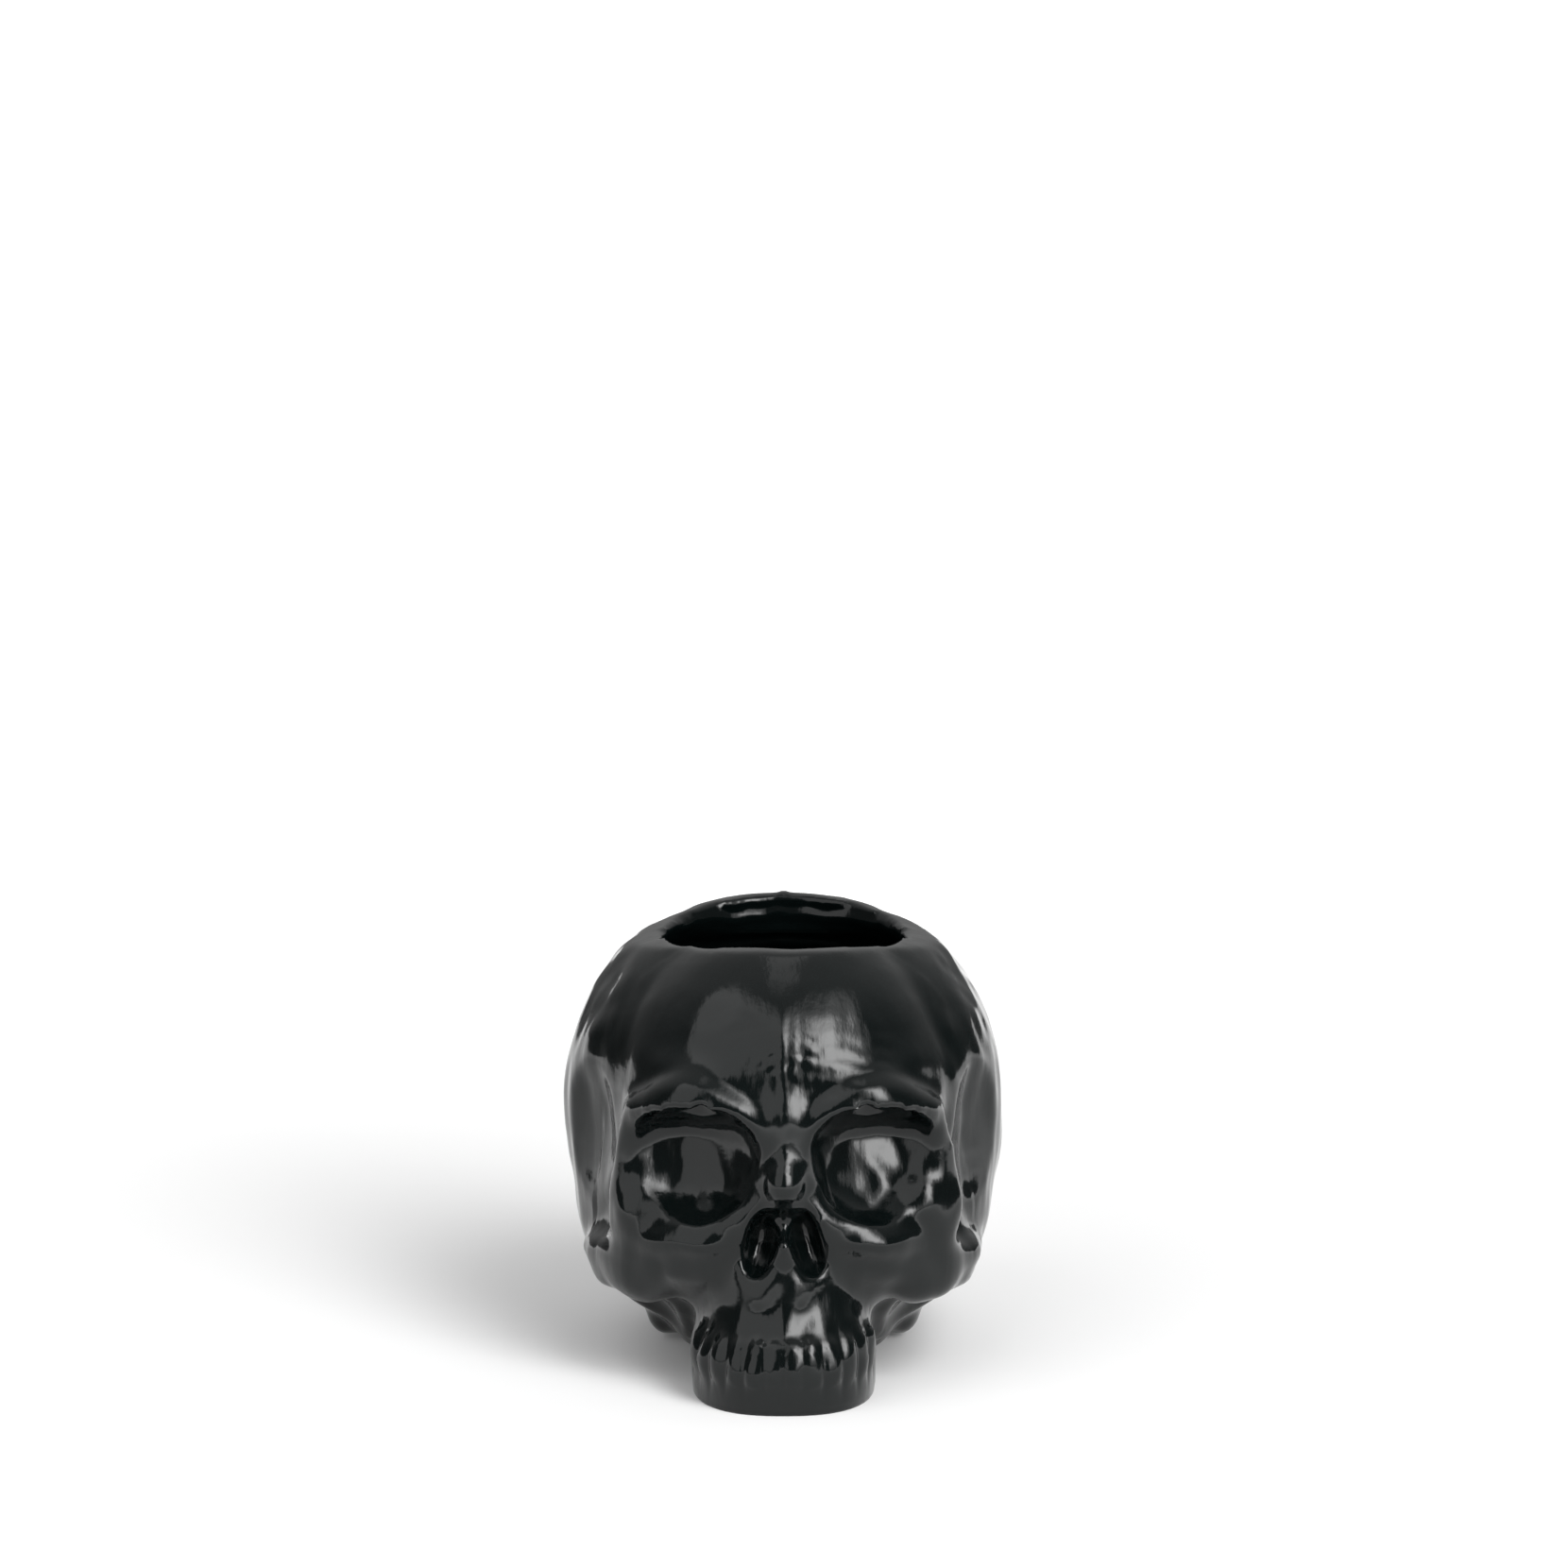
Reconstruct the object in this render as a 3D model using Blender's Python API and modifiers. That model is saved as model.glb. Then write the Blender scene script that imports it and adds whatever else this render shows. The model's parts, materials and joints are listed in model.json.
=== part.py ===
"""Skull candle holder: one hollow skull of moulded black glass, open at the crown for a candle.

The face looks towards -Y, +Z is up, and the holder stands on Z = 0 with its middle over the origin.
The skull is laid out in millimetres from a point under the braincase, as overlapping lumps and
ridges. They are melted into one skin, the crown is cut off, the hollows are carved, and the edges
of the cuts are softened the way fire-polished glass is.
"""

import math

import bmesh
import bpy
from mathutils import Euler, Vector

MM = 0.001

# Braincase
BRAINCASE_WIDTH = 115.4
BRAINCASE_MIDDLE_HEIGHT = 64
BRAINCASE_RISE = 57
BRAINCASE_DROP = 66.5
WALL = 7.5

# Rim and candle hollow
RIM_HEIGHT = 112.5
RIM_CROWN_RADIUS = 150
MOUTH_RADII = (31.5, 34)
MOUTH_MIDDLE = 13
HOLLOW_FLOOR_HEIGHT = 12
HOLLOW_HEIGHT = 100
HOLLOW_MIDDLE = 18.5
HOLLOW_LENGTH = 87

# Eye sockets and nose
SOCKET_SPACING = 48
SOCKET_HEIGHT = 62
SOCKET_RADII = (19, 11.5, 16.5)
SOCKET_LEAN = 20
SOCKET_TURN = 25
NOSE_TIP_HEIGHT = 54
NOSTRIL_HEIGHT = 43
NOSTRIL_RADII = (4.6, 12, 9.5)
NOSTRIL_LEAN = 12

# Cheeks, upper jaw and teeth
CHEEK_TIP = 47.5
CHEEK_HEIGHT = 32
JAW_HALF_WIDTH = 23.8
JAW_LENGTH = 31
JAW_LEAN = 11
TEETH_A_SIDE = 6
TOOTH_PITCH_DEGREES = 12
TOOTH_RADII = (2.9, 2.8, 6.5)
TOOTH_HEIGHT = 13.2

# Underside
ARCH_MIDDLE = -16
ARCH_HEIGHT = 7

# How finely the glass is shaped
GRAIN = 1.7
BLEND = 2.1
EDGE_SOFTNESS = 1.8
MOST_TRIANGLES = 10400

BLACK_GLASS = (0.008, 0.011, 0.011, 1.0)
GLASS_ROUGHNESS = 0.06
GLASS_IOR = 1.52


def as_object(name, bm, centre=(0, 0, 0)):
    mesh = bpy.data.meshes.new(name)
    bm.to_mesh(mesh)
    bm.free()
    made = bpy.data.objects.new(name, mesh)
    made.location = Vector(centre) * MM
    return made


def ball(name, centre, radii, squareness=2.0, turn=(0, 0, 0), drop=None):
    """A closed ball with three radii. Squareness 2 is round, and more is boxier.

    Drop is the depth below the centre, where it differs from the height above.
    """
    bm = bmesh.new()
    bmesh.ops.create_uvsphere(bm, u_segments=32, v_segments=16, radius=1.0)
    for vert in bm.verts:
        reach = sum(abs(c) ** squareness for c in vert.co) ** (1 / squareness)
        depth = drop if drop and vert.co.z < 0 else radii[2]
        vert.co = Vector(vert.co) / reach * MM
        vert.co *= Vector((radii[0], radii[1], depth))
    lean = Euler([math.radians(a) for a in turn]).to_matrix()
    bmesh.ops.transform(bm, matrix=lean, verts=bm.verts)
    return as_object(name, bm, centre)


def tube(name, centre, radii, height, segments=96):
    """A closed upright cylinder, round or elliptical."""
    bm = bmesh.new()
    bmesh.ops.create_cone(bm, cap_ends=True, segments=segments, radius1=MM, radius2=MM, depth=MM)
    bmesh.ops.scale(bm, vec=(radii[0], radii[1], height), verts=bm.verts)
    return as_object(name, bm, centre)


def ridge(name, points, radii):
    """A round bar that runs smoothly through the points, with its own radius at each."""
    curve = bpy.data.curves.new(name, "CURVE")
    curve.dimensions = "3D"
    curve.bevel_depth = MM
    curve.bevel_resolution = 4
    curve.resolution_u = 8
    curve.use_fill_caps = True
    spline = curve.splines.new("BEZIER")
    spline.bezier_points.add(len(points) - 1)
    for knot, place, radius in zip(spline.bezier_points, points, radii):
        knot.co = Vector(place) * MM
        knot.radius = radius
        knot.handle_left_type = "AUTO"
        knot.handle_right_type = "AUTO"
    return bpy.data.objects.new(name, curve)


def both_sides(make):
    return [*make(-1), *make(1)]


def braincase():
    half = BRAINCASE_WIDTH / 2
    crown = (half, 55, BRAINCASE_RISE)
    return [
        ball("braincase", (0, 14, BRAINCASE_MIDDLE_HEIGHT), crown, 2.15, drop=BRAINCASE_DROP),
        ball("braincase_base", (0, 13, 45), (half - 2.2, 47, 43), 2.35),
        ball("occiput", (0, 26, 62), (47, 45, 60), 2.15, drop=56.4),
        ball("forehead", (0, -5, 63), (47, 48.5, 55), 2.15),
        ball("glabella", (0, -44.5, 71), (13, 10.5, 13)),
    ]


def brow(side):
    top = [(side * 3, -48, 68), (side * 13, -47.5, 73.5), (side * 25, -44.5, 75.5), (side * 36.5, -35.5, 72)]
    return [ridge("brow", top, (6.5, 8, 8, 5.8))]


def socket_edges(side):
    outer = [(side * 37, -35, 75), (side * 39.5, -34, 65), (side * 40.3, -33.5, 54), (side * 39.5, -34, 42)]
    lower = [(side * 39, -35.5, 40), (side * 29, -44.5, 40.5), (side * 16, -50, 44), (side * 8, -48.5, 57)]
    return [
        ridge("outer_socket_edge", outer, (4, 4.2, 5, 6)),
        ridge("lower_socket_edge", lower, (5, 4.2, 4, 4)),
        ball("lower_socket_corner", (side * 35, -32.5, 44), (10, 10.5, 15), 2.2),
    ]


def cheek(side):
    tip = side * CHEEK_TIP
    z = CHEEK_HEIGHT
    top = [(side * 36, -37, z + 3), (side * 44, -26, z + 1), (tip, -12, z - 0.5), (side * 46, 6, z + 1)]
    low = [(side * 33, -37, z - 3), (side * 42, -26, z - 5), (tip - side * 1.5, -12, z - 5), (side * 45, 6, z - 2)]
    return [
        ball("midface", (side * 14, -22, 46), (24, 31, 28), 2.3),
        ball("cheekbone", (side * 35, -33, z), (12.5, 9, 10), 2.4, (0, side * 8, side * 40)),
        ridge("cheek_arch_top", top, (6, 5.2, 4.8, 4.2)),
        ridge("cheek_arch_low", low, (5.5, 5, 4.8, 4)),
        ball("arch_root", (side * 40, -14, 37), (8, 14, 8)),
    ]


def nose():
    bridge = [(0, -48, 73), (0, -51, 64), (0, -57, NOSE_TIP_HEIGHT)]
    return [
        ridge("nasal_bridge", bridge, (6.5, 5, 4)),
        ball("nasal_bed", (0, -45, 44), (15, 14, 15)),
    ]


def upper_jaw():
    return [
        ball("upper_jaw", (0, -33, 6), (JAW_HALF_WIDTH, JAW_LENGTH, 29), 2.5, (-JAW_LEAN, 0, 0)),
        ball("jaw_front", (0, -40, 27), (19, 18.5, 26), 2.3, (-8, 0, 0)),
    ]


def teeth():
    """The upper teeth, in low relief round the front of the jaw."""
    made = []
    for n in range(-TEETH_A_SIDE, TEETH_A_SIDE):
        turn = TOOTH_PITCH_DEGREES * (n + 0.5)
        around = math.radians(turn)
        out = 1 + 0.075 * abs(math.sin(2 * around))
        x = (JAW_HALF_WIDTH - 2) * math.sin(around) * out
        y = -33.6 - (JAW_LENGTH - 2.1) * math.cos(around) * out
        lean = -JAW_LEAN * math.cos(around)
        made.append(ball("tooth", (x, y, TOOTH_HEIGHT), TOOTH_RADII, 2.2, (lean, 0, turn)))
    return made


def skull_base(side):
    return [
        ball("mastoid", (side * 31, 13, 9.5), (6, 9, 9)),
        ball("base", (side * 10, 11, 13), (21, 31, 15), 2.6),
    ]


def hollows(side):
    socket = (side * SOCKET_SPACING / 2, -50, SOCKET_HEIGHT)
    socket_turn = (-SOCKET_LEAN, side * 6, side * SOCKET_TURN)
    nostril = (side * 6, -58.5, NOSTRIL_HEIGHT)
    return [
        ball("eye_socket", socket, SOCKET_RADII, 2.1, socket_turn),
        ball("nostril", nostril, NOSTRIL_RADII, 2.1, (-10, -side * NOSTRIL_LEAN, 0)),
        ball("temple", (side * 91, -34.5, 62), (50, 36, 56), 2.0, (0, 0, -side * 27)),
        ball("under_cheek", (side * 45, -24, 3), (20, 26, 20), 2.3, (0, 0, side * 8)),
        ball("jaw_hollow", (side * 28, -62, 27), (10, 14, 13)),
    ]


def nose_hollow():
    return [ball("nose_hollow", (0, -60.5, 48), (7.5, 8, 4.5))]


def candle_hollow():
    middle = (0, HOLLOW_MIDDLE, HOLLOW_FLOOR_HEIGHT + HOLLOW_HEIGHT / 2)
    radii = (BRAINCASE_WIDTH / 2 - WALL, HOLLOW_LENGTH / 2, HOLLOW_HEIGHT / 2)
    return [
        ball("candle_hollow", middle, radii, 2.3),
        tube("mouth", (0, MOUTH_MIDDLE, RIM_HEIGHT - 6.5), MOUTH_RADII, 30),
    ]


def underside_arch():
    return [ball("underside_arch", (0, ARCH_MIDDLE, ARCH_HEIGHT - 12), (70, 15, 12))]


def crown_barrel():
    """What is kept of the crown: a barrel along Y, so that the rim dips at the sides."""
    barrel = tube("crown_barrel", (0, 0, RIM_HEIGHT - RIM_CROWN_RADIUS), (RIM_CROWN_RADIUS,) * 2, 500, 256)
    barrel.rotation_euler = (math.radians(90), 0, 0)
    return barrel


def ground():
    bm = bmesh.new()
    bmesh.ops.create_cube(bm, size=0.3)
    return as_object("ground", bm, (0, 0, -150))


def joined(name, shapes):
    """One object that holds all the shapes as overlapping closed shells."""
    scene = bpy.context.scene.collection
    bm = bmesh.new()
    for shape in shapes:
        scene.objects.link(shape)
        bpy.context.view_layer.update()
        mesh = bpy.data.meshes.new_from_object(shape.evaluated_get(bpy.context.evaluated_depsgraph_get()))
        mesh.transform(shape.matrix_world)
        bm.from_mesh(mesh)
        bpy.data.objects.remove(shape)
        bpy.data.meshes.remove(mesh)
    bmesh.ops.remove_doubles(bm, verts=bm.verts, dist=1e-6)
    return as_object(name, bm)


def melt(target, name, softness):
    """Melts overlapping shells or fresh cuts into one skin, and rounds its edges."""
    remesh = target.modifiers.new(name, "REMESH")
    remesh.mode = "VOXEL"
    remesh.voxel_size = GRAIN * MM
    smooth = target.modifiers.new(name + " softening", "SMOOTH")
    smooth.factor = 0.5
    smooth.iterations = max(1, round(4 * (softness / GRAIN) ** 2))


def cut(target, name, operation, cutter=None, collection=None):
    boolean = target.modifiers.new(name, "BOOLEAN")
    boolean.solver = "EXACT"
    boolean.operation = operation
    if collection:
        boolean.operand_type = "COLLECTION"
        boolean.collection = collection
    else:
        boolean.object = cutter


def evaluated_mesh(target):
    bpy.context.view_layer.update()
    return bpy.data.meshes.new_from_object(target.evaluated_get(bpy.context.evaluated_depsgraph_get()))


def thin_out(target):
    """Keeps the shape with far fewer triangles, and more of them where the form is tight."""
    mesh = evaluated_mesh(target)
    triangles = sum(len(face.vertices) - 2 for face in mesh.polygons)
    bpy.data.meshes.remove(mesh)
    decimate = target.modifiers.new("Thin out", "DECIMATE")
    decimate.ratio = MOST_TRIANGLES / triangles
    decimate.use_collapse_triangulate = True


def black_glass():
    material = bpy.data.materials.new("black_glass")
    material.use_nodes = True
    shader = material.node_tree.nodes["Principled BSDF"]
    shader.inputs["Base Color"].default_value = BLACK_GLASS
    shader.inputs["Metallic"].default_value = 0.0
    shader.inputs["Roughness"].default_value = GLASS_ROUGHNESS
    shader.inputs["IOR"].default_value = GLASS_IOR
    material.diffuse_color = BLACK_GLASS
    return material


def cutter_collection(name, parent, shapes):
    made = bpy.data.collections.new(name)
    parent.children.link(made)
    made.hide_render = True
    for shape in shapes:
        shape.display_type = "WIRE"
        shape.hide_render = True
        made.objects.link(shape)
    return made


def build():
    for old in list(bpy.data.objects):
        bpy.data.objects.remove(old)
    scene = bpy.context.scene.collection
    parts = bpy.data.collections.new("skull_candle_holder")
    scene.children.link(parts)

    lumps = [*braincase(), *both_sides(brow), *both_sides(socket_edges), *both_sides(cheek)]
    lumps += [*nose(), *upper_jaw(), *both_sides(skull_base)]
    skull = joined("skull_holder", lumps)
    parts.objects.link(skull)

    barrel = crown_barrel()
    floor = ground()
    carved = [*both_sides(hollows), *nose_hollow(), *candle_hollow(), *underside_arch()]
    carving = cutter_collection("carving", scene, carved)
    tooth_row = cutter_collection("tooth_row", scene, teeth())
    trimming = cutter_collection("trimming", scene, [barrel, floor])

    melt(skull, "Melt", BLEND)
    cut(skull, "Crown", "INTERSECT", cutter=barrel)
    cut(skull, "Carving", "DIFFERENCE", collection=carving)
    cut(skull, "Teeth", "UNION", collection=tooth_row)
    melt(skull, "Fire polish", EDGE_SOFTNESS)
    cut(skull, "Ground flat", "DIFFERENCE", cutter=floor)
    thin_out(skull)

    mesh = evaluated_mesh(skull)
    along = [vert.co.y for vert in mesh.vertices]
    bpy.data.meshes.remove(mesh)
    middle = (min(along) + max(along)) / 2
    for made in [*parts.objects, *carving.objects, *trimming.objects, *tooth_row.objects]:
        made.location.y -= middle

    skull.data.shade_smooth()
    skull.data.materials.append(black_glass())
    return skull


if __name__ == "__main__":
    build()
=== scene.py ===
"""Skull candle holder of moulded black glass, on a white studio floor.

The skull is laid out in millimetres from a point under the braincase, with the face towards -Y,
as overlapping lumps and ridges. They are melted into one skin and carved, the fine marks of the
mould and of the cooling glass are worked into the surface, and the whole is seated in the frame's
box.
"""

import json
import math
from collections import namedtuple

import bmesh
import bpy
import numpy as np
from bpy.props import FloatProperty, FloatVectorProperty, IntProperty, PointerProperty
from mathutils import Euler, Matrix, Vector, noise

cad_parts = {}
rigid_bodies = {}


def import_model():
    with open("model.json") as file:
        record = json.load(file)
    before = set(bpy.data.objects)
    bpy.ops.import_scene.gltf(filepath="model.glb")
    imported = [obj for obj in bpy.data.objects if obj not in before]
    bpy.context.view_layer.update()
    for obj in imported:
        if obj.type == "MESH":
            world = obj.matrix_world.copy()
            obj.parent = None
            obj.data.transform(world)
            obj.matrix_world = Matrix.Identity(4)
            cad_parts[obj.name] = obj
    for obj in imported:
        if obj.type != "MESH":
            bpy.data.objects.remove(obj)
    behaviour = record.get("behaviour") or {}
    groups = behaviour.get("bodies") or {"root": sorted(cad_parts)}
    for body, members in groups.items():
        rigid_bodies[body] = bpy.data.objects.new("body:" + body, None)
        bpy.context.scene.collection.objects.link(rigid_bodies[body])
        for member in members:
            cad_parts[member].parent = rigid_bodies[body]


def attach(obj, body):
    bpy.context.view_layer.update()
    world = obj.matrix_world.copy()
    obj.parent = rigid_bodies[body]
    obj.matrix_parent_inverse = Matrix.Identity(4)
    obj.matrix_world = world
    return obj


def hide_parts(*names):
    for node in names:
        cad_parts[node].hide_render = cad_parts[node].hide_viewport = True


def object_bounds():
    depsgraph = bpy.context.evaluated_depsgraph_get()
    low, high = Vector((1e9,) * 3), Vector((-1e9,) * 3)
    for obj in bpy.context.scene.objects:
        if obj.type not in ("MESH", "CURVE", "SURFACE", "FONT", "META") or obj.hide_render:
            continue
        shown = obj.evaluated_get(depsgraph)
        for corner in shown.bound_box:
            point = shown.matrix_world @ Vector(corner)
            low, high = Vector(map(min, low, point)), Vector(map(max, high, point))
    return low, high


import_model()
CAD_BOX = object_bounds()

bl_info = {
    "name": "Skull Candle Holder",
    "version": (1, 0, 0),
    "blender": (4, 5, 0),
    "location": "3D View > Sidebar > Skull Holder",
    "description": "Builds a moulded black glass skull that holds a candle, and a studio for it",
    "category": "Add Mesh",
}

MM = 0.001

# Places and sizes in millimetres that several steps share
HOLLOW_MIDDLE = (0, 18.5, 62)
HOLLOW_HALF_LENGTH = 43.5
HOLLOW_HALF_HEIGHT = 50
HOLLOW_SQUARENESS = 2.3
MOUTH_MIDDLE = 13
TEETH_MIDDLE = -33.6
TEETH_REACH = 28.9
TOOTH_PITCH_DEGREES = 12
JAW_LEAN_DEGREES = 11
SKIN_SOFTNESS = 2.1
EDGE_SOFTNESS = 1.8

# The photograph's view: its size and lens in pixels, and the pixel where the skull's middle shows
PHOTO_SIDE = 1660
FOCAL_PIXELS = 6496.0
MIDDLE_PIXEL = (829.0, 1204.0)
SKULL_MIDDLE = (0, -0.0026, 0.057)

LAMP_TARGET = Vector((0, 0, 0.06))

# The floor's own glow: the distances from its middle where it starts and ends, and its strengths
FLOOR_FADE = (0.1, 1.0)
FLOOR_GLOW = (0.04, 0.8)

# A Mix node's colour sockets go by number, because its other sockets have the same names
MIX_FIRST_COLOUR = 6
MIX_SECOND_COLOUR = 7
MIX_COLOUR = 2


class SkullSizes(bpy.types.PropertyGroup):
    width: FloatProperty(
        name="Width",
        description="Width of the braincase",
        default=0.1154,
        min=0.05,
        unit="LENGTH",
    )
    rim_height: FloatProperty(
        name="Rim height",
        description="Height of the rim at its front and back",
        default=0.1125,
        min=0.06,
        unit="LENGTH",
    )
    rim_curve: FloatProperty(
        name="Rim curve",
        description="Radius that makes the rim dip at its sides",
        default=0.15,
        min=0.07,
        unit="LENGTH",
    )
    mouth_width: FloatProperty(
        name="Mouth width",
        description="Width of the opening in the crown",
        default=0.063,
        min=0.04,
        unit="LENGTH",
    )
    mouth_length: FloatProperty(
        name="Mouth length",
        description="Length of the opening in the crown",
        default=0.068,
        min=0.04,
        unit="LENGTH",
    )
    wall: FloatProperty(
        name="Wall",
        description="Thickness of the glass at the sides",
        default=0.0075,
        min=0.003,
        unit="LENGTH",
    )
    socket_spacing: FloatProperty(
        name="Socket spacing",
        description="Distance between the eye sockets' middles",
        default=0.048,
        unit="LENGTH",
    )
    socket_height: FloatProperty(
        name="Socket height",
        description="Height of the eye sockets' middles",
        default=0.062,
        unit="LENGTH",
    )
    jaw_width: FloatProperty(
        name="Jaw width",
        description="Width of the upper jaw",
        default=0.0476,
        unit="LENGTH",
    )
    tooth_height: FloatProperty(
        name="Tooth height",
        description="Height of the tooth row's middle",
        default=0.0132,
        unit="LENGTH",
    )
    teeth_a_side: IntProperty(
        name="Teeth a side",
        description="Teeth on each side of the middle",
        default=6,
        min=2,
        max=7,
    )
    grain: FloatProperty(
        name="Grain",
        description="Size of the mesh's faces",
        default=0.00115,
        min=0.0006,
        unit="LENGTH",
    )


class GlassFinish(bpy.types.PropertyGroup):
    colour: FloatVectorProperty(
        name="Colour",
        description="Colour of the glass",
        default=(0.001, 0.002, 0.002, 1.0),
        size=4,
        subtype="COLOR",
    )
    thin_colour: FloatVectorProperty(
        name="Thin colour",
        description="Colour where the melt is paler",
        default=(0.0025, 0.0045, 0.0045, 1.0),
        size=4,
        subtype="COLOR",
    )
    ior: FloatProperty(
        name="Index of refraction",
        description="How strongly the glass mirrors",
        default=1.43,
        min=1.3,
    )
    roughness: FloatProperty(
        name="Roughness",
        description="How blurred the reflections are",
        default=0.12,
        min=0.0,
        max=1.0,
        subtype="FACTOR",
    )
    ripple: FloatProperty(
        name="Ripple depth",
        description="Depth of the slow waves in the cooled glass",
        default=0.00022,
        unit="LENGTH",
    )
    seam: FloatProperty(
        name="Seam height",
        description="Height of the crease where the mould's halves met",
        default=0.0009,
        unit="LENGTH",
    )


class StudioLook(bpy.types.PropertyGroup):
    floor_colour: FloatVectorProperty(
        name="Floor colour",
        description="Colour of the studio floor",
        default=(0.93, 0.93, 0.93, 1.0),
        size=4,
        subtype="COLOR",
    )
    key_glow: FloatProperty(
        name="Key glow",
        description="Brightness of the tall softbox at the front right",
        default=1.2,
        min=0,
    )
    core_glow: FloatProperty(
        name="Core glow",
        description="Added brightness in the softbox's middle",
        default=9.5,
        min=0,
    )
    panel_glow: FloatProperty(
        name="Panel glow",
        description="Brightness of the panel at the front left",
        default=1.15,
        min=0,
    )
    top_glow: FloatProperty(
        name="Top glow",
        description="Brightness of the soft light overhead",
        default=0.6,
        min=0,
    )
    surround: FloatProperty(
        name="Surround",
        description="Brightness of the dim surroundings in front",
        default=0.1,
        min=0,
    )
    backdrop: FloatProperty(
        name="Backdrop",
        description="Brightness of the surroundings behind and above",
        default=0.5,
        min=0,
    )
    camera_distance: FloatProperty(
        name="Camera distance",
        description="Distance of the camera from the skull",
        default=1.6,
        unit="LENGTH",
    )
    camera_elevation: FloatProperty(
        name="Camera elevation",
        description="How far the camera looks down",
        default=math.radians(13.5),
        subtype="ANGLE",
    )


# Shapes in millimetres


def as_object(name, bm, centre=(0, 0, 0)):
    mesh = bpy.data.meshes.new(name)
    bm.to_mesh(mesh)
    bm.free()
    made = bpy.data.objects.new(name, mesh)
    made.location = Vector(centre) * MM
    return made


def ball(name, centre, radii, squareness=2.0, turn=(0, 0, 0), drop=None):
    """A closed ball with three radii. Squareness 2 is round, and more is boxier."""
    bm = bmesh.new()
    bmesh.ops.create_uvsphere(bm, u_segments=64, v_segments=32, radius=1.0)
    for vert in bm.verts:
        reach = sum(abs(c) ** squareness for c in vert.co) ** (1 / squareness)
        depth = drop if drop and vert.co.z < 0 else radii[2]
        vert.co = Vector(vert.co) / reach * MM
        vert.co *= Vector((radii[0], radii[1], depth))
    lean = Euler([math.radians(a) for a in turn]).to_matrix()
    bmesh.ops.transform(bm, matrix=lean, verts=bm.verts)
    return as_object(name, bm, centre)


def tube(name, centre, radii, height, segments=128):
    """A closed upright cylinder, round or elliptical."""
    bm = bmesh.new()
    bmesh.ops.create_cone(bm, cap_ends=True, segments=segments, radius1=MM, radius2=MM, depth=MM)
    bmesh.ops.scale(bm, vec=(radii[0], radii[1], height), verts=bm.verts)
    return as_object(name, bm, centre)


def ridge(name, points, radii):
    """A round bar that runs smoothly through the points, with its own radius at each."""
    curve = bpy.data.curves.new(name, "CURVE")
    curve.dimensions = "3D"
    curve.bevel_depth = MM
    curve.bevel_resolution = 6
    curve.resolution_u = 12
    curve.use_fill_caps = True
    spline = curve.splines.new("BEZIER")
    spline.bezier_points.add(len(points) - 1)
    for knot, place, radius in zip(spline.bezier_points, points, radii):
        knot.co = Vector(place) * MM
        knot.radius = radius
        knot.handle_left_type = "AUTO"
        knot.handle_right_type = "AUTO"
    return bpy.data.objects.new(name, curve)


def both_sides(make, *args):
    return [*make(-1, *args), *make(1, *args)]


def braincase(half):
    return [
        ball("braincase", (0, 14, 64), (half, 55, 57), 2.15, drop=66.5),
        ball("braincase_base", (0, 13, 45), (half - 2.2, 47, 43), 2.35),
        ball("occiput", (0, 26, 62), (47, 45, 60), 2.15, drop=56.4),
        ball("forehead", (0, -5, 63), (47, 48.5, 55), 2.15),
        ball("glabella", (0, -44.5, 71), (13, 10.5, 13)),
    ]


def brow(side):
    along = [(side * 3, -48, 68), (side * 13, -47.5, 73.5), (side * 25, -44.5, 75.5)]
    along.append((side * 36.5, -35.5, 72))
    return [ridge("brow", along, (6.5, 8, 8, 5.8))]


def socket_edges(side):
    outer = [(side * 37, -35, 75), (side * 39.5, -34, 65)]
    outer += [(side * 40.3, -33.5, 54), (side * 39.5, -34, 42)]
    lower = [(side * 39, -35.5, 40), (side * 29, -44.5, 40.5)]
    lower += [(side * 16, -50, 44), (side * 8, -48.5, 57)]
    return [
        ridge("outer_socket_edge", outer, (4, 4.2, 5, 6)),
        ridge("lower_socket_edge", lower, (5, 4.2, 4, 4)),
        ball("lower_socket_corner", (side * 35, -32.5, 44), (10, 10.5, 15), 2.2),
    ]


def cheek(side):
    top = [(side * 36, -37, 35), (side * 44, -26, 33), (side * 47.5, -12, 31.5), (side * 46, 6, 33)]
    low = [(side * 33, -37, 29), (side * 42, -26, 27), (side * 46, -12, 27), (side * 45, 6, 30)]
    return [
        ball("midface", (side * 14, -22, 46), (24, 31, 28), 2.3),
        ball("cheekbone", (side * 35, -33, 32), (12.5, 9, 10), 2.4, (0, side * 8, side * 40)),
        ridge("cheek_arch_top", top, (6, 5.2, 4.8, 4.2)),
        ridge("cheek_arch_low", low, (5.5, 5, 4.8, 4)),
        ball("arch_root", (side * 40, -14, 37), (8, 14, 8)),
    ]


def nose():
    return [
        ridge("nasal_bridge", [(0, -48, 73), (0, -51, 64), (0, -57, 54)], (6.5, 5, 4)),
        ball("nasal_bed", (0, -45, 44), (15, 14, 15)),
    ]


def upper_jaw(half):
    return [
        ball("upper_jaw", (0, -33, 6), (half, 31, 29), 2.5, (-JAW_LEAN_DEGREES, 0, 0)),
        ball("jaw_front", (0, -40, 27), (19, 18.5, 26), 2.3, (-8, 0, 0)),
    ]


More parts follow.
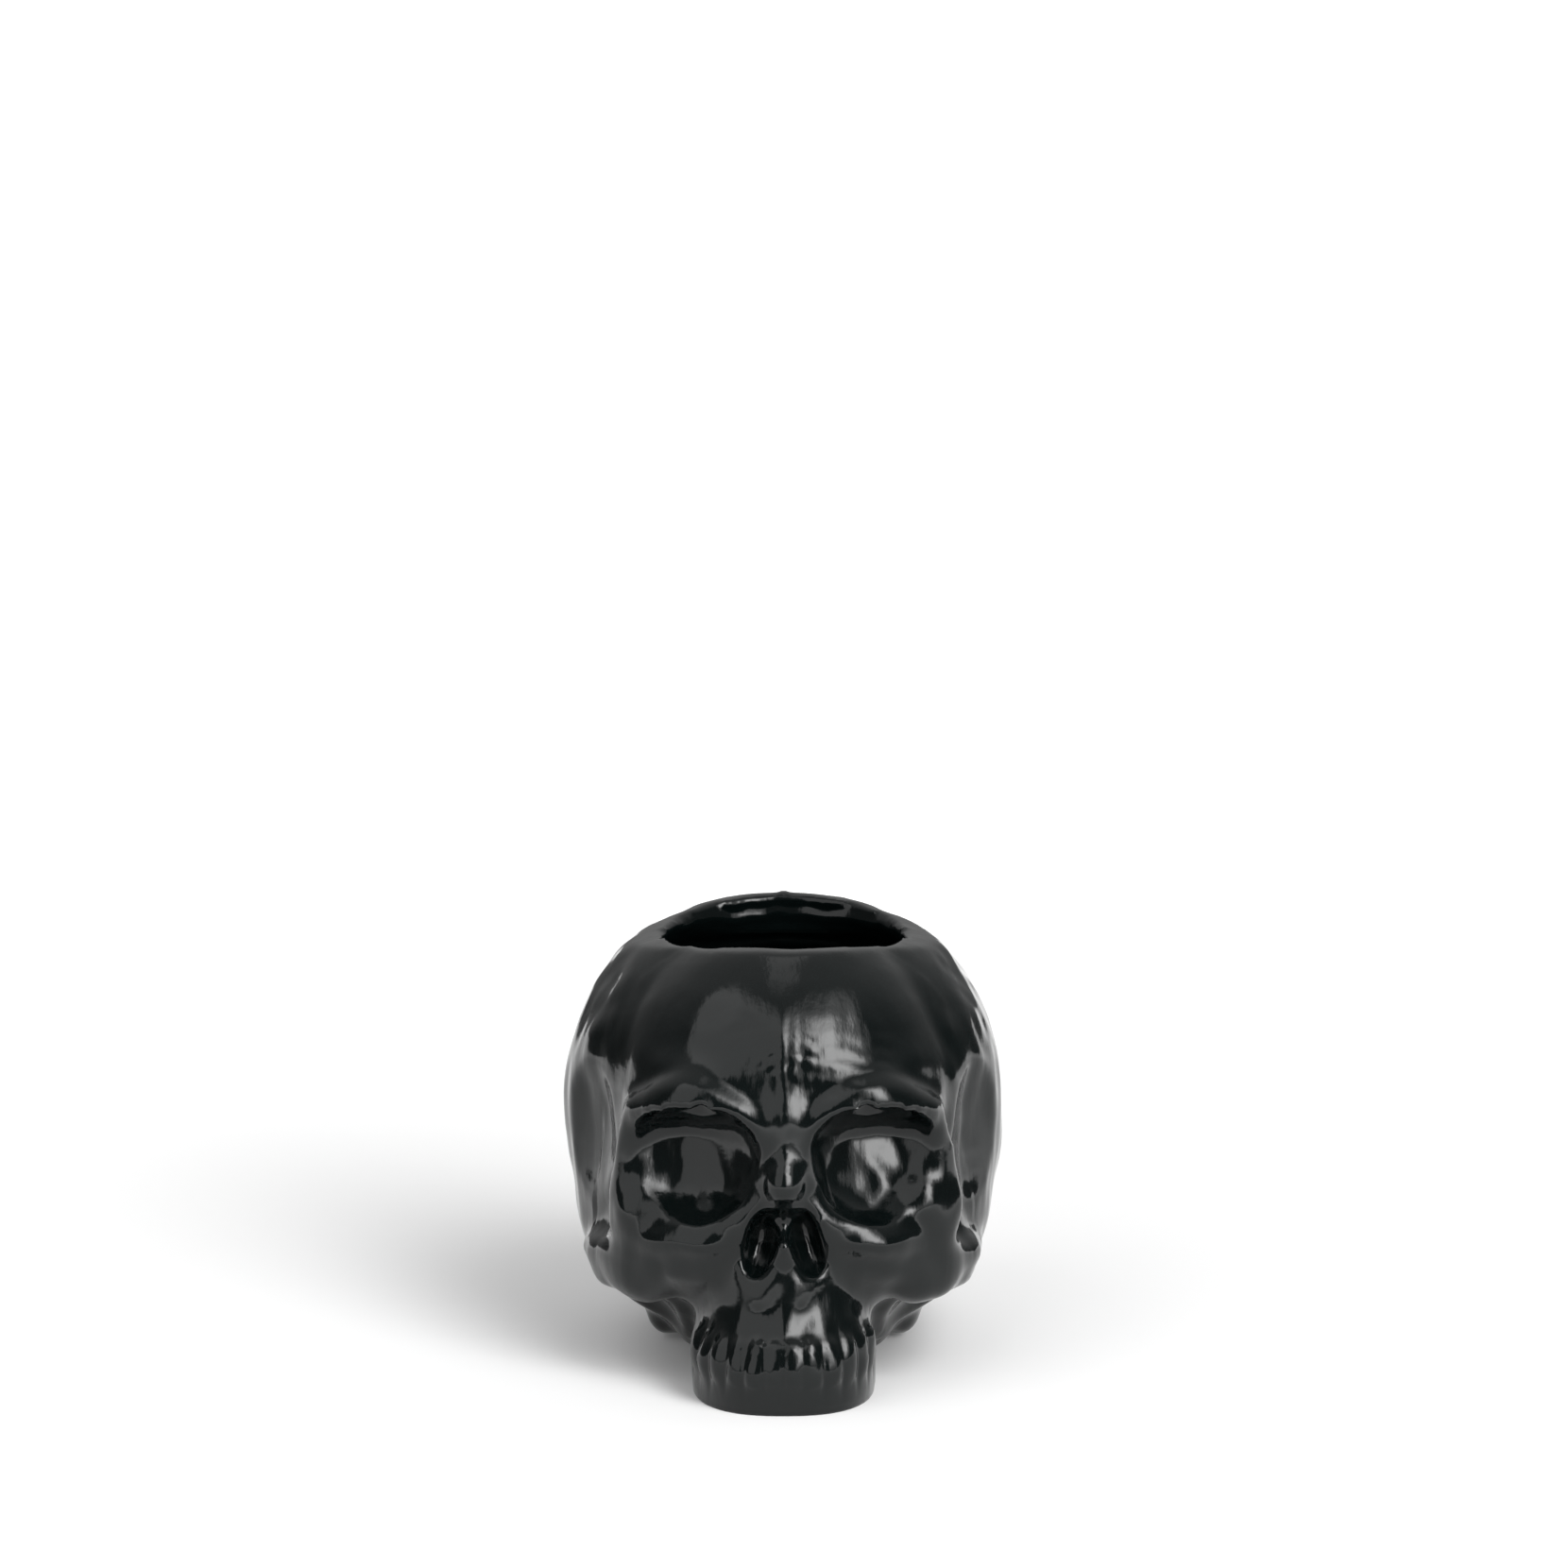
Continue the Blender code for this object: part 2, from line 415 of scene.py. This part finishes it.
def teeth(sizes):
    """The upper teeth, in low relief round the front of the jaw, standing out most at its corners."""
    made = []
    across = sizes.jaw_width / MM / 2 - 2
    for n in range(-sizes.teeth_a_side, sizes.teeth_a_side):
        turn = TOOTH_PITCH_DEGREES * (n + 0.5)
        around = math.radians(turn)
        out = 1 + 0.075 * abs(math.sin(2 * around))
        x = across * math.sin(around) * out
        y = TEETH_MIDDLE - TEETH_REACH * math.cos(around) * out
        place = (x, y, sizes.tooth_height / MM)
        lean = (-JAW_LEAN_DEGREES * math.cos(around), 0, turn)
        made.append(ball("tooth", place, (2.9, 2.8, 6.5), 2.2, lean))
    return made


def skull_base(side):
    return [
        ball("mastoid", (side * 31, 13, 9.5), (6, 9, 9)),
        ball("base", (side * 10, 11, 13), (21, 31, 15), 2.6),
    ]


def hollows(side, sizes):
    socket = (side * sizes.socket_spacing / MM / 2, -50, sizes.socket_height / MM)
    return [
        ball("eye_socket", socket, (19, 11.5, 16.5), 2.1, (-20, side * 6, side * 25)),
        ball("nostril", (side * 6, -58.5, 43), (4.6, 12, 9.5), 2.1, (-10, -side * 12, 0)),
        ball("temple", (side * 91, -34.5, 62), (50, 36, 56), 2.0, (0, 0, -side * 27)),
        ball("under_cheek", (side * 45, -24, 3), (20, 26, 20), 2.3, (0, 0, side * 8)),
        ball("jaw_hollow", (side * 28, -62, 27), (10, 14, 13)),
    ]


def hollow_half_width(sizes):
    return sizes.width / MM / 2 - sizes.wall / MM


def mouth_radii(sizes):
    return sizes.mouth_width / MM / 2, sizes.mouth_length / MM / 2


def candle_hollow(sizes):
    radii = (hollow_half_width(sizes), HOLLOW_HALF_LENGTH, HOLLOW_HALF_HEIGHT)
    mouth_place = (0, MOUTH_MIDDLE, sizes.rim_height / MM - 6.5)
    return [
        ball("candle_hollow", HOLLOW_MIDDLE, radii, HOLLOW_SQUARENESS),
        tube("mouth", mouth_place, mouth_radii(sizes), 30),
    ]


def nose_hollow():
    return [ball("nose_hollow", (0, -60.5, 48), (7.5, 8, 4.5))]


def underside_arch():
    return [ball("underside_arch", (0, -16, -5), (70, 15, 12))]


def crown_barrel(sizes):
    """What is kept of the crown: a barrel along Y, so that the rim dips at the sides."""
    radius = sizes.rim_curve / MM
    barrel = tube("crown_barrel", (0, 0, sizes.rim_height / MM - radius), (radius, radius), 500, 360)
    barrel.rotation_euler = (math.radians(90), 0, 0)
    return barrel


def ground():
    bm = bmesh.new()
    bmesh.ops.create_cube(bm, size=0.3)
    return as_object("ground", bm, (0, 0, -150))


# Melting and carving


def evaluated_mesh(target):
    bpy.context.view_layer.update()
    return bpy.data.meshes.new_from_object(target.evaluated_get(bpy.context.evaluated_depsgraph_get()))


def joined(name, shapes, scratch):
    """One object that holds all the shapes as overlapping closed shells."""
    bm = bmesh.new()
    for shape in shapes:
        scratch.objects.link(shape)
        mesh = evaluated_mesh(shape)
        mesh.transform(shape.matrix_world)
        bm.from_mesh(mesh)
        bpy.data.objects.remove(shape)
        bpy.data.meshes.remove(mesh)
    bmesh.ops.remove_doubles(bm, verts=bm.verts, dist=1e-6)
    made = as_object(name, bm)
    scratch.objects.link(made)
    return made


def melt(target, grain, softness):
    """Melts overlapping shells or fresh cuts into one skin, and rounds its edges."""
    remesh = target.modifiers.new("Melt", "REMESH")
    remesh.mode = "VOXEL"
    remesh.voxel_size = grain
    smooth = target.modifiers.new("Soften", "SMOOTH")
    smooth.factor = 0.5
    smooth.iterations = max(1, round(4 * (softness * MM / grain) ** 2))


def cut(target, operation, cutters):
    for cutter in cutters:
        boolean = target.modifiers.new(cutter.name, "BOOLEAN")
        boolean.solver = "MANIFOLD"
        boolean.operation = operation
        boolean.object = cutter


def rough_skull(sizes, scratch):
    """The skull's whole form, before its fine marks."""
    lumps = [
        *braincase(sizes.width / MM / 2),
        *both_sides(brow),
        *both_sides(socket_edges),
        *both_sides(cheek),
        *nose(),
        *upper_jaw(sizes.jaw_width / MM / 2),
        *both_sides(skull_base),
    ]
    skull = joined("rough_skull", lumps, scratch)
    barrel = crown_barrel(sizes)
    floor = ground()
    carving = [*both_sides(hollows, sizes), *nose_hollow(), *candle_hollow(sizes), *underside_arch()]
    tooth_row = teeth(sizes)
    for shape in [barrel, floor, *carving, *tooth_row]:
        scratch.objects.link(shape)
    melt(skull, sizes.grain, SKIN_SOFTNESS)
    cut(skull, "INTERSECT", [barrel])
    cut(skull, "DIFFERENCE", carving)
    cut(skull, "UNION", tooth_row)
    melt(skull, sizes.grain, EDGE_SOFTNESS)
    cut(skull, "DIFFERENCE", [floor])
    return evaluated_mesh(skull)


# Fine marks, worked into the surface

Skin = namedtuple("Skin", "co x y z inside outside front face")


def read_points(mesh):
    co = np.empty(len(mesh.vertices) * 3)
    mesh.vertices.foreach_get("co", co)
    return co.reshape(-1, 3)


def write_points(mesh, co):
    mesh.vertices.foreach_set("co", co.ravel())
    mesh.update()


def bump_at(value, middle, spread):
    return np.exp(-(((value - middle) / spread) ** 2))


def ramp(value, low, high):
    t = np.clip((value - low) / (high - low), 0, 1)
    return t * t * (3 - 2 * t)


def waves(skin, size, seed, squeeze=(1, 1, 1)):
    """Smooth noise from -1 to 1, its lumps about size mm apart, and further where squeezed below 1."""
    offset = Vector((seed * 7.3, seed * 3.1, seed * 5.7))
    return np.array([noise.noise(Vector(p) / size + offset) for p in skin.co * squeeze])


def read_skin(co, sizes):
    """The points in millimetres, and which are in the hollow, outside it, in front or on the face."""
    x, y, z = co.T
    hollow = (abs(x) / hollow_half_width(sizes)) ** HOLLOW_SQUARENESS
    hollow += (abs(y - HOLLOW_MIDDLE[1]) / HOLLOW_HALF_LENGTH) ** HOLLOW_SQUARENESS
    hollow += (abs(z - HOLLOW_MIDDLE[2]) / HOLLOW_HALF_HEIGHT) ** HOLLOW_SQUARENESS
    half_width, half_length = mouth_radii(sizes)
    throat = (x / half_width) ** 2 + ((y - MOUTH_MIDDLE) / half_length) ** 2
    inside = (hollow < 1.05) | ((throat < 1.06) & (z > 88))
    outside = ~inside
    front = outside & (y < -12)
    return Skin(co, x, y, z, inside, outside, front, front * ramp(-y, 12, 30))


def split_for_detail(mesh):
    """Puts finer faces where the marks are fine: over the nose and on the teeth."""
    bm = bmesh.new()
    bm.from_mesh(mesh)
    fine = []
    for edge in bm.edges:
        x, y, z = (edge.verts[0].co + edge.verts[1].co) / 2 / MM
        brow_middle = abs(x) < 15 and 66 < z < 101 and y < -30
        mouth_front = abs(x) < 25 and 4 < z < 24 and y < -34
        if brow_middle or mouth_front:
            fine.append(edge)
    bmesh.ops.subdivide_edges(bm, edges=fine, cuts=1, use_grid_fill=True)
    bm.to_mesh(mesh)
    bm.free()


def mould_seam(skin, height):
    """The crease down the face and back where the mould's halves met."""
    strayed = skin.x - 0.9 * waves(skin, 7, 10, (0, 0, 1))
    crease = np.exp(-np.sqrt(strayed**2 + 0.08) / 5.0) * skin.face * ramp(skin.z, -2, 8)
    crease *= (1 - 0.75 * bump_at(skin.z, 42, 10)) * (1 - ramp(skin.z, 90, 106))
    return height * crease + 0.45 * bump_at(skin.x, 0, 1.1) * skin.outside * ramp(skin.y, 20, 40)


def cooled_waves(skin, depth):
    """Slow waves in the cooled glass, fainter inside."""
    slow = waves(skin, 17, 1) + 0.75 * waves(skin, 7.5, 2)
    return depth * slow * np.where(skin.inside, 0.6, 1.0)


def uneven_casting(skin):
    """The face's uneven casting, strong below the brow and faint above it."""
    low = waves(skin, 11, 13, (1, 0.5, 0.8)) + 0.5 * waves(skin, 5.5, 14, (1, 0.5, 0.7))
    low *= skin.front * (1 - ramp(skin.z, 62, 76)) * ramp(skin.z, 4, 14)
    high = waves(skin, 10, 15, (1, 0.5, 0.5)) * skin.front * ramp(skin.z, 76, 84)
    return 1.1 * low + 0.3 * high


def soft_swellings(skin):
    aside = abs(skin.x)
    over_brow = 1.7 * bump_at(skin.z, 84, 4.5) * bump_at(aside, 23, 12)
    under_socket = 1.6 * bump_at(skin.z, 41.5, 3) * bump_at(aside, 22, 9)
    cheekbone = 1.8 * bump_at(skin.z, 33, 3.6) * bump_at(aside, 29, 5)
    jaw_foot = 0.8 * bump_at(skin.z, 6, 6) * bump_at(aside, 5, 10)
    return (over_brow + under_socket + cheekbone + jaw_foot) * skin.face


def socket_roofs(skin):
    """The eye sockets' roofs hang a little, over a hollow."""
    zone = bump_at(abs(skin.x), 23, 12) * skin.outside * ramp(skin.y, -53, -47) * (skin.y < -28)
    return (1.8 * bump_at(skin.z, 73.5, 3) - 1.4 * bump_at(skin.z, 67, 4)) * zone


def socket_unevenness(skin):
    zone = skin.outside * bump_at(abs(skin.x), 24.4, 12) * bump_at(skin.z, 60.5, 12)
    return 0.16 * waves(skin, 4.2, 4) * zone * (skin.y < -30) * (skin.y > -48)


def forehead_grooves(skin):
    """Upright grooves over the nose, and a rough patch on the left."""
    zone = skin.face * ramp(skin.z, 70, 76) * (1 - ramp(skin.z, 96, 106)) * bump_at(skin.x, 2.5, 8)
    grooves = 0.15 * waves(skin, 2.3, 5, (1, 0.1, 0.12)) * zone
    crumbs = 0.09 * waves(skin, 1.8, 6, (1, 0.2, 0.5)) * zone * ramp(92 - skin.z, 0, 10)
    patch = 0.2 * waves(skin, 3.6, 7) * bump_at(skin.x, -11, 6) * bump_at(skin.z, 97, 5) * skin.face
    return grooves + crumbs + patch


def forehead_ripples(skin, wander):
    zone = skin.face * bump_at(skin.z, 86, 8) * ramp(skin.x, 1, 8) * (1 - ramp(skin.x, 22, 32))
    return 0.07 * np.sin(skin.z * 2 * math.pi / 4.0 + 0.3 * skin.x + 2.4 * wander) * zone


def forehead_specks(skin):
    zone = skin.face * bump_at(skin.x, 1, 9) * bump_at(skin.z, 88, 5)
    return -0.5 * np.clip(waves(skin, 2.2, 11) - 0.15, 0, 1) * zone


def brow_notches(skin):
    notches = bump_at(skin.x, -21, 1.8) + bump_at(skin.x, 21, 1.8)
    return -0.9 * notches * bump_at(skin.z, 76.5, 2.0) * skin.face


def tooth_gaps(skin, sizes):
    """Grooves between the teeth, half a pitch from each tooth's middle."""
    ahead = (TEETH_MIDDLE - skin.y) / (TEETH_REACH + 2)
    around = np.degrees(np.arctan2(skin.x / (sizes.jaw_width / MM / 2), ahead))
    off_gap = abs((around / TOOTH_PITCH_DEGREES + 0.5) % 1 - 0.5) * TOOTH_PITCH_DEGREES
    row = skin.face * bump_at(skin.z, sizes.tooth_height / MM - 2.5, 5) * (abs(around) < 76)
    return -0.4 * bump_at(off_gap, 0, 1.9) * row


def temple_streaks(skin):
    """Streaks that run down the temples."""
    zone = skin.outside * ramp(abs(skin.x), 36, 44) * ramp(skin.z, 24, 42)
    zone = zone * (1 - ramp(skin.y, 20, 50))
    coarse = waves(skin, 4.2, 8, (0.5, 0.38, 0.13))
    fine = waves(skin, 4.2, 12, (1, 0.8, 0.22))
    return 0.9 * (coarse + 0.5 * fine) * zone


def rim_rings(skin, wander):
    """Rings inside the rim's back edge."""
    zone = skin.inside * ramp(skin.z, 84, 92) * ramp(skin.y, 8, 20)
    return 0.3 * np.sin(skin.z * 2 * math.pi / 4.6 + 1.6 * wander) * zone


def work_surface(mesh, sizes, finish):
    """Moves each point along its normal by the height of the marks there, but for the flat below."""
    co = read_points(mesh) / MM
    normals = np.empty(co.size)
    mesh.vertex_normals.foreach_get("vector", normals)
    skin = read_skin(co, sizes)
    wander = waves(skin, 5, 3, (1, 1, 0.25))
    lift = mould_seam(skin, finish.seam / MM) + cooled_waves(skin, finish.ripple / MM)
    lift += uneven_casting(skin) + soft_swellings(skin)
    lift += socket_roofs(skin) + socket_unevenness(skin)
    lift += forehead_grooves(skin) + forehead_ripples(skin, wander) + forehead_specks(skin)
    lift += brow_notches(skin) + tooth_gaps(skin, sizes)
    lift += temple_streaks(skin) + rim_rings(skin, wander)
    lift *= ramp(skin.z, 0.2, 2.5)
    write_points(mesh, (co + normals.reshape(-1, 3) * lift[:, None]) * MM)


def seat(mesh, box):
    """Scales and moves the mesh by its last fraction of a millimetre, to fill the frame's box."""
    co = read_points(mesh)
    low, high = co.min(0), co.max(0)
    want_low, want_high = np.array(box[0]), np.array(box[1])
    write_points(mesh, want_low + (co - low) * (want_high - want_low) / (high - low))


# Materials


def add_node(tree, kind, **values):
    node = tree.nodes.new(kind)
    for name, value in values.items():
        if name in node.inputs:
            node.inputs[name].default_value = value
        else:
            setattr(node, name, value)
    return node


def smooth_range(tree, source, target):
    """A node that maps the source's span to the target's, easing in and out."""
    node = add_node(tree, "ShaderNodeMapRange", interpolation_type="SMOOTHSTEP")
    names = ("From Min", "From Max", "To Min", "To Max")
    for name, value in zip(names, (*source, *target)):
        node.inputs[name].default_value = value
    return node


def black_glass(finish):
    """Polished black glass, faintly uneven in colour and polish."""
    material = bpy.data.materials.new("black_glass")
    material.use_nodes = True
    tree = material.node_tree
    shader = tree.nodes["Principled BSDF"]
    shader.inputs["Metallic"].default_value = 0.0
    shader.inputs["IOR"].default_value = finish.ior
    place = add_node(tree, "ShaderNodeTexCoord")

    cloud = add_node(tree, "ShaderNodeTexNoise", Scale=26.0, Detail=3.0)
    tint = add_node(tree, "ShaderNodeMix", data_type="RGBA")
    tint.inputs[MIX_FIRST_COLOUR].default_value = finish.colour
    tint.inputs[MIX_SECOND_COLOUR].default_value = finish.thin_colour
    tree.links.new(place.outputs["Object"], cloud.inputs["Vector"])
    tree.links.new(cloud.outputs["Fac"], tint.inputs[0])
    tree.links.new(tint.outputs[MIX_COLOUR], shader.inputs["Base Color"])

    smear = add_node(tree, "ShaderNodeTexNoise", Scale=90.0, Detail=4.0)
    polish = add_node(tree, "ShaderNodeMapRange")
    polish.inputs["To Min"].default_value = finish.roughness * 0.5
    polish.inputs["To Max"].default_value = finish.roughness * 1.5
    tree.links.new(place.outputs["Object"], smear.inputs["Vector"])
    tree.links.new(smear.outputs["Fac"], polish.inputs["Value"])
    tree.links.new(polish.outputs["Result"], shader.inputs["Roughness"])

    drawn_out = add_node(tree, "ShaderNodeMapping")
    drawn_out.inputs["Scale"].default_value = (1.0, 0.6, 0.14)
    streaks = add_node(tree, "ShaderNodeTexNoise", Scale=520.0, Detail=3.0)
    chill = add_node(tree, "ShaderNodeTexNoise", Scale=210.0, Detail=3.0)
    both = add_node(tree, "ShaderNodeMath", operation="ADD")
    relief = add_node(tree, "ShaderNodeBump", Strength=0.16, Distance=0.0004)
    tree.links.new(place.outputs["Object"], drawn_out.inputs["Vector"])
    tree.links.new(drawn_out.outputs["Vector"], streaks.inputs["Vector"])
    tree.links.new(place.outputs["Object"], chill.inputs["Vector"])
    tree.links.new(streaks.outputs["Fac"], both.inputs[0])
    tree.links.new(chill.outputs["Fac"], both.inputs[1])
    tree.links.new(both.outputs["Value"], relief.inputs["Height"])
    tree.links.new(relief.outputs["Normal"], shader.inputs["Normal"])
    return material


def pale_floor(colour):
    """A matt white floor that is lit more and more evenly, like a backdrop, away from the object."""
    material = bpy.data.materials.new("pale_floor")
    material.use_nodes = True
    tree = material.node_tree
    shader = tree.nodes["Principled BSDF"]
    shader.inputs["Base Color"].default_value = colour
    shader.inputs["Roughness"].default_value = 0.9
    shader.inputs["Specular IOR Level"].default_value = 0.0
    shader.inputs["Emission Color"].default_value = (1, 1, 1, 1)
    place = add_node(tree, "ShaderNodeTexCoord")
    away = add_node(tree, "ShaderNodeVectorMath", operation="LENGTH")
    fade = smooth_range(tree, FLOOR_FADE, FLOOR_GLOW)
    path = add_node(tree, "ShaderNodeLightPath")
    mirrored = add_node(tree, "ShaderNodeMath", operation="MAXIMUM")
    seen = add_node(tree, "ShaderNodeMath", operation="MAXIMUM")
    strength = add_node(tree, "ShaderNodeMath", operation="MULTIPLY")
    tree.links.new(place.outputs["Object"], away.inputs[0])
    tree.links.new(away.outputs["Value"], fade.inputs["Value"])
    tree.links.new(path.outputs["Is Glossy Ray"], mirrored.inputs[0])
    tree.links.new(path.outputs["Is Transmission Ray"], mirrored.inputs[1])
    tree.links.new(mirrored.outputs["Value"], seen.inputs[0])
    tree.links.new(path.outputs["Is Camera Ray"], seen.inputs[1])
    tree.links.new(seen.outputs["Value"], strength.inputs[0])
    tree.links.new(fade.outputs["Result"], strength.inputs[1])
    tree.links.new(strength.outputs["Value"], shader.inputs["Emission Strength"])
    return material


# Studio


def direction(azimuth, elevation, distance):
    """A place round the skull. Azimuth 0 is before the face, and positive is the picture's right."""
    a = math.radians(azimuth)
    e = math.radians(elevation)
    away = Vector((math.sin(a) * math.cos(e), -math.cos(a) * math.cos(e), math.sin(e)))
    return away * distance + LAMP_TARGET


def softbox(name, azimuths, elevations, distance, glow, fade=0.25):
    """An area lamp that faces the skull, fills a span of directions and fades out at its border."""
    place = direction(sum(azimuths) / 2, sum(elevations) / 2, distance)
    wide = 2 * distance * math.tan(math.radians(azimuths[1] - azimuths[0]) / 2)
    tall = 2 * distance * math.tan(math.radians(elevations[1] - elevations[0]) / 2)
    light = bpy.data.lights.new(name, "AREA")
    light.shape = "RECTANGLE"
    light.size = wide * math.cos(math.radians(sum(elevations) / 2))
    light.size_y = tall
    light.energy = glow * math.pi * light.size * light.size_y
    light.use_nodes = True
    tree = light.node_tree
    spot = add_node(tree, "ShaderNodeNewGeometry")
    centred = add_node(tree, "ShaderNodeVectorMath", operation="SUBTRACT")
    centred.inputs[1].default_value = (0.5, 0.5, 0)
    mirrored = add_node(tree, "ShaderNodeVectorMath", operation="ABSOLUTE")
    parts = add_node(tree, "ShaderNodeSeparateXYZ")
    outward = add_node(tree, "ShaderNodeMath", operation="SMOOTH_MAX")
    outward.inputs[2].default_value = 0.15
    border = smooth_range(tree, (0.5 - fade, 0.5), (1.0, 0.0))
    tree.links.new(spot.outputs["Parametric"], centred.inputs[0])
    tree.links.new(centred.outputs["Vector"], mirrored.inputs[0])
    tree.links.new(mirrored.outputs["Vector"], parts.inputs["Vector"])
    tree.links.new(parts.outputs["X"], outward.inputs[0])
    tree.links.new(parts.outputs["Y"], outward.inputs[1])
    tree.links.new(outward.outputs["Value"], border.inputs["Value"])
    tree.links.new(border.outputs["Result"], tree.nodes["Emission"].inputs["Strength"])
    lamp = bpy.data.objects.new(name, light)
    lamp.location = place
    lamp.rotation_euler = (LAMP_TARGET - place).to_track_quat("-Z", "Y").to_euler()
    bpy.context.scene.collection.objects.link(lamp)


def studio_world(look):
    """Pale behind and above the skull, and dim on the camera's side."""
    world = bpy.data.worlds.new("studio")
    bpy.context.scene.world = world
    world.use_nodes = True
    tree = world.node_tree
    background = tree.nodes["Background"]
    background.inputs["Color"].default_value = (1, 1, 1, 1)
    ray = add_node(tree, "ShaderNodeTexCoord")
    rise = add_node(tree, "ShaderNodeVectorMath", operation="DOT_PRODUCT")
    rise.inputs[1].default_value = (0, 0.6, 1)
    behind = smooth_range(tree, (0.3, 1.0), (look.surround, look.backdrop))
    tree.links.new(ray.outputs["Generated"], rise.inputs[0])
    tree.links.new(rise.outputs["Value"], behind.inputs["Value"])
    tree.links.new(behind.outputs["Result"], background.inputs["Strength"])


def photo_camera(look):
    """The photograph's view: the skull stands low in the frame."""
    data = bpy.data.cameras.new("camera")
    data.lens = data.sensor_width * FOCAL_PIXELS / PHOTO_SIDE
    camera = bpy.data.objects.new("camera", data)
    down = math.atan((MIDDLE_PIXEL[1] - PHOTO_SIDE / 2) / FOCAL_PIXELS)
    turn = math.atan((MIDDLE_PIXEL[0] - PHOTO_SIDE / 2) / FOCAL_PIXELS)
    elevation = look.camera_elevation
    away = Vector((0, -math.cos(elevation), math.sin(elevation)))
    camera.location = Vector(SKULL_MIDDLE) + away * look.camera_distance
    camera.rotation_euler = (math.pi / 2 - elevation + down, 0, turn)
    bpy.context.scene.collection.objects.link(camera)
    bpy.context.scene.camera = camera


class SKULL_OT_make_skull(bpy.types.Operator):
    """Build the glass skull and seat it in the frame"""

    bl_idname = "skull_holder.make_skull"
    bl_label = "Make skull"

    def execute(self, context):
        sizes = context.scene.skull_sizes
        finish = context.scene.glass_finish
        scratch = bpy.data.collections.new("scratch")
        context.scene.collection.children.link(scratch)
        mesh = rough_skull(sizes, scratch)
        for used in list(scratch.objects):
            bpy.data.objects.remove(used)
        bpy.data.collections.remove(scratch)
        if not mesh.vertices:
            raise RuntimeError("the skull came out empty")
        split_for_detail(mesh)
        work_surface(mesh, sizes, finish)
        seat(mesh, CAD_BOX)
        mesh.shade_smooth()
        mesh.materials.clear()
        mesh.materials.append(black_glass(finish))
        skull = bpy.data.objects.new("glass_skull", mesh)
        context.scene.collection.objects.link(skull)
        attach(skull, "root")
        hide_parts("skull_holder")
        return {"FINISHED"}


class SKULL_OT_make_studio(bpy.types.Operator):
    """Build the floor, the lamps, the world and the camera"""

    bl_idname = "skull_holder.make_studio"
    bl_label = "Make studio"

    def execute(self, context):
        look = context.scene.studio_look
        bm = bmesh.new()
        bmesh.ops.create_grid(bm, x_segments=8, y_segments=8, size=12)
        floor = as_object("floor", bm)
        floor.data.materials.append(pale_floor(look.floor_colour))
        context.scene.collection.objects.link(floor)

        softbox("key_softbox", (9, 66), (-2, 70), 3.0, look.key_glow, 0.12)
        softbox("key_core", (16, 57), (4, 64), 2.9, look.core_glow, 0.38)
        softbox("left_panel", (-78, -11), (-2, 70), 3.0, look.panel_glow, 0.12)
        softbox("top_light", (150, 210), (60, 105), 3.2, look.top_glow)
        studio_world(look)
        photo_camera(look)
        context.scene.view_settings.view_transform = "Standard"
        return {"FINISHED"}


class SKULL_PT_holder(bpy.types.Panel):
    bl_idname = "SKULL_PT_holder"
    bl_label = "Skull Candle Holder"
    bl_space_type = "VIEW_3D"
    bl_region_type = "UI"
    bl_category = "Skull Holder"

    def draw(self, context):
        scene = context.scene
        for group in (scene.skull_sizes, scene.glass_finish, scene.studio_look):
            box = self.layout.box()
            for name in group.__annotations__:
                box.prop(group, name)
        self.layout.operator(SKULL_OT_make_skull.bl_idname)
        self.layout.operator(SKULL_OT_make_studio.bl_idname)


CLASSES = (
    SkullSizes,
    GlassFinish,
    StudioLook,
    SKULL_OT_make_skull,
    SKULL_OT_make_studio,
    SKULL_PT_holder,
)


def register():
    for each in CLASSES:
        bpy.utils.register_class(each)
    bpy.types.Scene.skull_sizes = PointerProperty(type=SkullSizes)
    bpy.types.Scene.glass_finish = PointerProperty(type=GlassFinish)
    bpy.types.Scene.studio_look = PointerProperty(type=StudioLook)


def unregister():
    del bpy.types.Scene.studio_look
    del bpy.types.Scene.glass_finish
    del bpy.types.Scene.skull_sizes
    for each in reversed(CLASSES):
        bpy.utils.unregister_class(each)


def main():
    register()
    bpy.ops.skull_holder.make_skull()
    bpy.ops.skull_holder.make_studio()


if __name__ == "__main__":
    main()
